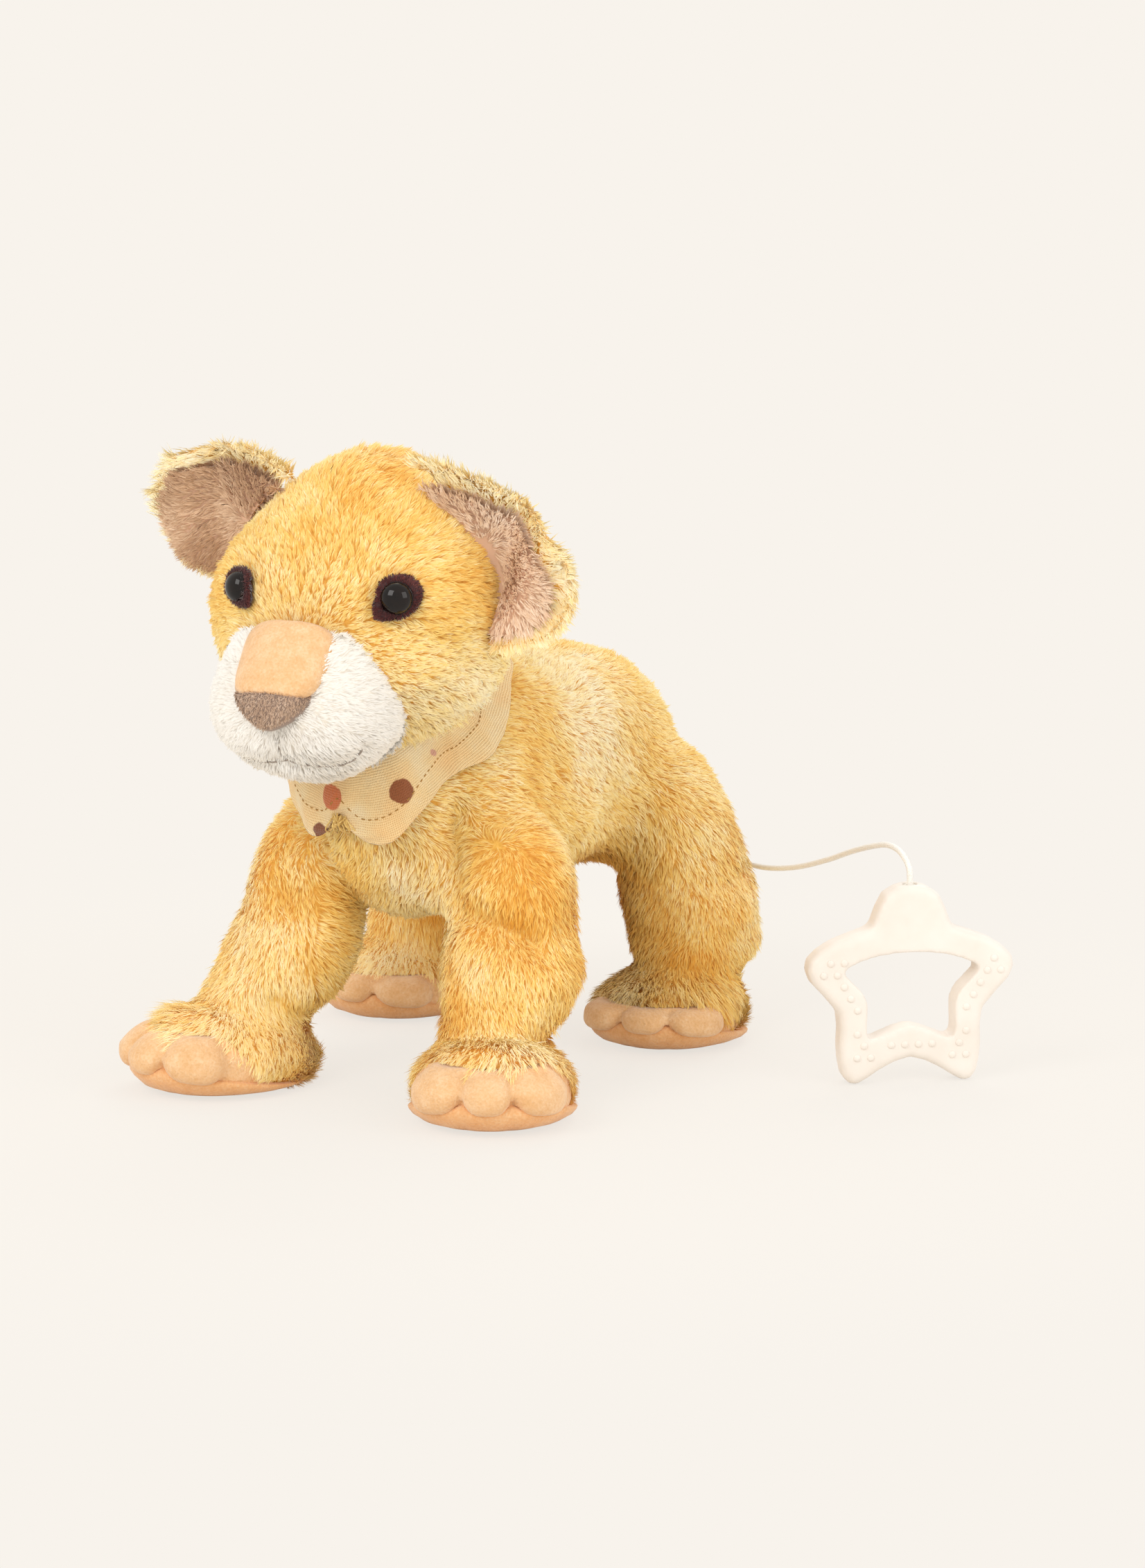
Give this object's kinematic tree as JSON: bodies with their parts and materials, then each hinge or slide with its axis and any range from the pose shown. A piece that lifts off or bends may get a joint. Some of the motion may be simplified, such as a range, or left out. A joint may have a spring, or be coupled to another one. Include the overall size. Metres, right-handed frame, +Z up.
{
  "type": "plush lion",
  "caption": "Standing plush lion cub with floppy cupped ears, a neck bandana, and a pull cord with a star grip that winds a musical movement inside its body.",
  "frame": {"origin": "on the floor, under the middle of the box around the lion and its star grip, with the cord itself left out", "axes": "+Z up, the lion looks along -Y, its left side and the star grip lie towards +X"},
  "size_m": [0.2774, 0.2736, 0.2273],
  "materials": {
    "gold_plush": "short soft golden fur pile",
    "white_plush": "short soft white fur pile",
    "ear_lining_plush": "short pink-beige pile",
    "peach_velour": "very short peach velour",
    "taupe_velour": "very short taupe velour",
    "mouth_thread": "matt sewing thread",
    "eye_plastic": "polished black",
    "eye_embroidery": "satin stitch",
    "apricot_muslin": "open plain weave with printed dots",
    "braided_cord": "matt round braid",
    "cream_silicone": "satin moulded",
    "case_plastic": "moulded",
    "steel": "bright",
    "brass": "bright",
    "nylon": "moulded"
  },
  "bodies": {
    "lion": {"torso": "gold_plush", "head": "gold_plush", "ear_left": "gold_plush", "ear_right": "gold_plush", "ear_lining_left": "ear_lining_plush", "ear_lining_right": "ear_lining_plush", "muzzle": "white_plush", "nose_bridge": "peach_velour", "nose": "taupe_velour", "mouth_stitch": "mouth_thread", "philtrum_stitch": "mouth_thread", "eye_left": "eye_plastic", "eye_right": "eye_plastic", "eye_patch_left": "eye_embroidery", "eye_patch_right": "eye_embroidery", "eye_washer_left": "nylon", "eye_washer_right": "nylon", "bandana": "apricot_muslin", "bandana_tack": "mouth_thread", "leg_front_left": "gold_plush", "leg_front_right": "gold_plush", "leg_rear_left": "gold_plush", "leg_rear_right": "gold_plush", "paw_front_left": "gold_plush", "paw_front_right": "gold_plush", "paw_rear_left": "gold_plush", "paw_rear_right": "gold_plush", "toes_front_left": "peach_velour", "toes_front_right": "peach_velour", "toes_rear_left": "peach_velour", "toes_rear_right": "peach_velour", "sole_front_left": "peach_velour", "sole_front_right": "peach_velour", "sole_rear_left": "peach_velour", "sole_rear_right": "peach_velour", "cord_eyelet": "brass", "movement_case_lower": "case_plastic", "movement_case_upper": "case_plastic", "case_screw_1": "steel", "case_screw_2": "steel", "movement_frame": "brass", "comb": "steel", "comb_screw_left": "steel", "comb_screw_right": "steel"},
    "pull": {"pull_cord": "braided_cord", "cord_inner": "braided_cord", "cord_knot": "braided_cord", "cord_anchor": "nylon", "star_grip": "cream_silicone"},
    "spool": {"cord_spool": "nylon", "great_wheel": "brass", "wound_cord": "braided_cord", "spool_arbor": "steel", "mainspring": "steel"},
    "cylinder": {"pinned_cylinder": "brass", "cylinder_wheel": "brass", "cylinder_arbor": "steel"},
    "governor": {"governor": "nylon"}
  },
  "joints": [
    {"name": "cord_pull", "type": "slide", "parent": "lion", "child": "pull", "axis": [0, 1, 0], "range_m": [0, 0.12], "stiffness_N_per_m": 25, "springref_m": -0.02},
    {"name": "spool_spin", "type": "hinge", "parent": "lion", "child": "spool", "pos_m": [-0.05148, 0.08274, 0.0875], "axis": [1, 0, 0], "range_deg": [0, 918]},
    {"name": "cylinder_spin", "type": "hinge", "parent": "lion", "child": "cylinder", "pos_m": [-0.05148, 0.06664, 0.09265], "axis": [1, 0, 0], "range_deg": [-1224, 0]},
    {"name": "governor_spin", "type": "hinge", "parent": "lion", "child": "governor", "pos_m": [-0.05148, 0.05856, 0.09904], "axis": [1, 0, 0], "range_deg": [0, 2936]}
  ],
  "couplings": [
    {"joint": "spool_spin", "follows": "cord_pull", "rad_per_m": 133.33},
    {"joint": "cylinder_spin", "follows": "cord_pull", "rad_per_m": -177.78},
    {"joint": "governor_spin", "follows": "cord_pull", "rad_per_m": 426.67}
  ]
}
